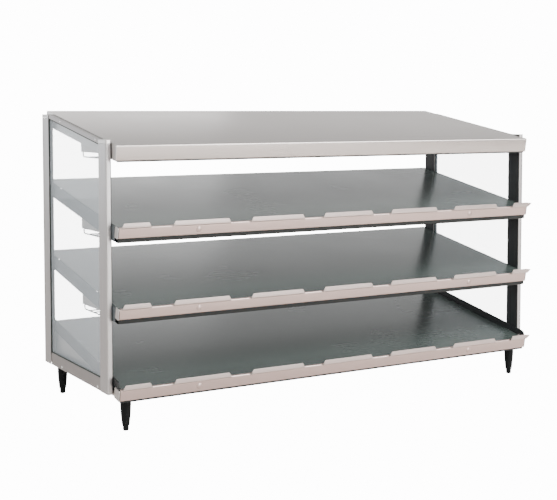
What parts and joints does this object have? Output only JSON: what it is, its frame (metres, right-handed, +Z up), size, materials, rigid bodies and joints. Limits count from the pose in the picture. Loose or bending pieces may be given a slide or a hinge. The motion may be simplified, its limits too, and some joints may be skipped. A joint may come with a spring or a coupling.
{
  "type": "pizza warmer",
  "caption": "Counter-top pizza warmer with a slanted steel canopy, slanted heated shelves with lip tabs, glass side frames, radiant heads and levelling feet.",
  "frame": {"origin": "on the counter, under the centre of the bounding box", "axes": "+X to the right along the shelves, -Y towards the front where boxes are taken out, +Z up"},
  "size_m": [1.261, 0.5027, 0.745],
  "materials": {
    "stainless": "satin",
    "shelf": "satin",
    "dark_sheet": "satin",
    "black_trim": "matte",
    "rubber": "matte",
    "glass": "gloss",
    "aluminium": "satin",
    "element": "dull",
    "silicone": "matte",
    "plastic": "satin"
  },
  "bodies": {
    "cabinet": {"left_front_post": "stainless", "left_rear_post": "stainless", "left_front_post_liner": "black_trim", "left_rear_post_liner": "black_trim", "left_top_rail": "stainless", "left_bottom_rail": "stainless", "left_glass": "glass", "left_glass_gasket": "rubber", "right_front_post": "stainless", "right_rear_post": "stainless", "right_front_post_liner": "black_trim", "right_rear_post_liner": "black_trim", "right_top_rail": "stainless", "right_bottom_rail": "stainless", "right_glass": "glass", "right_glass_gasket": "rubber", "canopy_top": "stainless", "canopy_tray": "aluminium", "upper_shelf_pan": "shelf", "upper_shelf_under_cover": "dark_sheet", "upper_shelf_blanket_heater": "silicone", "upper_shelf_left_end": "dark_sheet", "upper_shelf_right_end": "dark_sheet", "middle_shelf_pan": "shelf", "middle_shelf_under_cover": "dark_sheet", "middle_shelf_blanket_heater": "silicone", "middle_shelf_left_end": "dark_sheet", "middle_shelf_right_end": "dark_sheet", "bottom_shelf_pan": "shelf", "bottom_shelf_blanket_heater": "silicone", "bottom_shelf_left_rail": "black_trim", "bottom_shelf_right_rail": "black_trim", "base_housing": "stainless", "rear_control_panel": "stainless", "power_switch_body": "plastic", "cord_gland": "plastic", "canopy_heater_housing": "stainless", "canopy_reflector": "aluminium", "canopy_heating_element": "element", "canopy_element_guard": "aluminium", "upper_heater_housing": "stainless", "upper_reflector": "aluminium", "upper_heating_element": "element", "upper_element_guard": "aluminium", "middle_heater_housing": "stainless", "middle_reflector": "aluminium", "middle_heating_element": "element", "middle_element_guard": "aluminium", "front_left_leg": "plastic", "front_right_leg": "plastic", "rear_left_leg": "plastic", "rear_right_leg": "plastic"},
    "power_rocker": {"power_switch_rocker": "plastic"},
    "bottom_shelf_thermostat": {"bottom_shelf_thermostat_knob": "plastic"},
    "middle_shelf_thermostat": {"middle_shelf_thermostat_knob": "plastic"},
    "upper_shelf_thermostat": {"upper_shelf_thermostat_knob": "plastic"},
    "front_left_foot": {"front_left_foot": "plastic"},
    "front_right_foot": {"front_right_foot": "plastic"},
    "rear_left_foot": {"rear_left_foot": "plastic"},
    "rear_right_foot": {"rear_right_foot": "plastic"}
  },
  "joints": [
    {"name": "power_rocker_tilt", "type": "hinge", "parent": "cabinet", "child": "power_rocker", "pos_m": [0.52, 0.23165, 0.13], "axis": [1, 0, 0], "range_deg": [0, 20]},
    {"name": "bottom_shelf_thermostat_turn", "type": "hinge", "parent": "cabinet", "child": "bottom_shelf_thermostat", "pos_m": [0.25, 0.23165, 0.13], "axis": [0, -1, 0], "range_deg": [0, 280]},
    {"name": "middle_shelf_thermostat_turn", "type": "hinge", "parent": "cabinet", "child": "middle_shelf_thermostat", "pos_m": [0.34, 0.23165, 0.13], "axis": [0, -1, 0], "range_deg": [0, 280]},
    {"name": "upper_shelf_thermostat_turn", "type": "hinge", "parent": "cabinet", "child": "upper_shelf_thermostat", "pos_m": [0.43, 0.23165, 0.13], "axis": [0, -1, 0], "range_deg": [0, 280]},
    {"name": "front_left_foot_height", "type": "slide", "parent": "cabinet", "child": "front_left_foot", "axis": [0, 0, 1], "range_m": [-0.012, 0]},
    {"name": "front_right_foot_height", "type": "slide", "parent": "cabinet", "child": "front_right_foot", "axis": [0, 0, 1], "range_m": [-0.012, 0]},
    {"name": "rear_left_foot_height", "type": "slide", "parent": "cabinet", "child": "rear_left_foot", "axis": [0, 0, 1], "range_m": [-0.012, 0]},
    {"name": "rear_right_foot_height", "type": "slide", "parent": "cabinet", "child": "rear_right_foot", "axis": [0, 0, 1], "range_m": [-0.012, 0]}
  ]
}
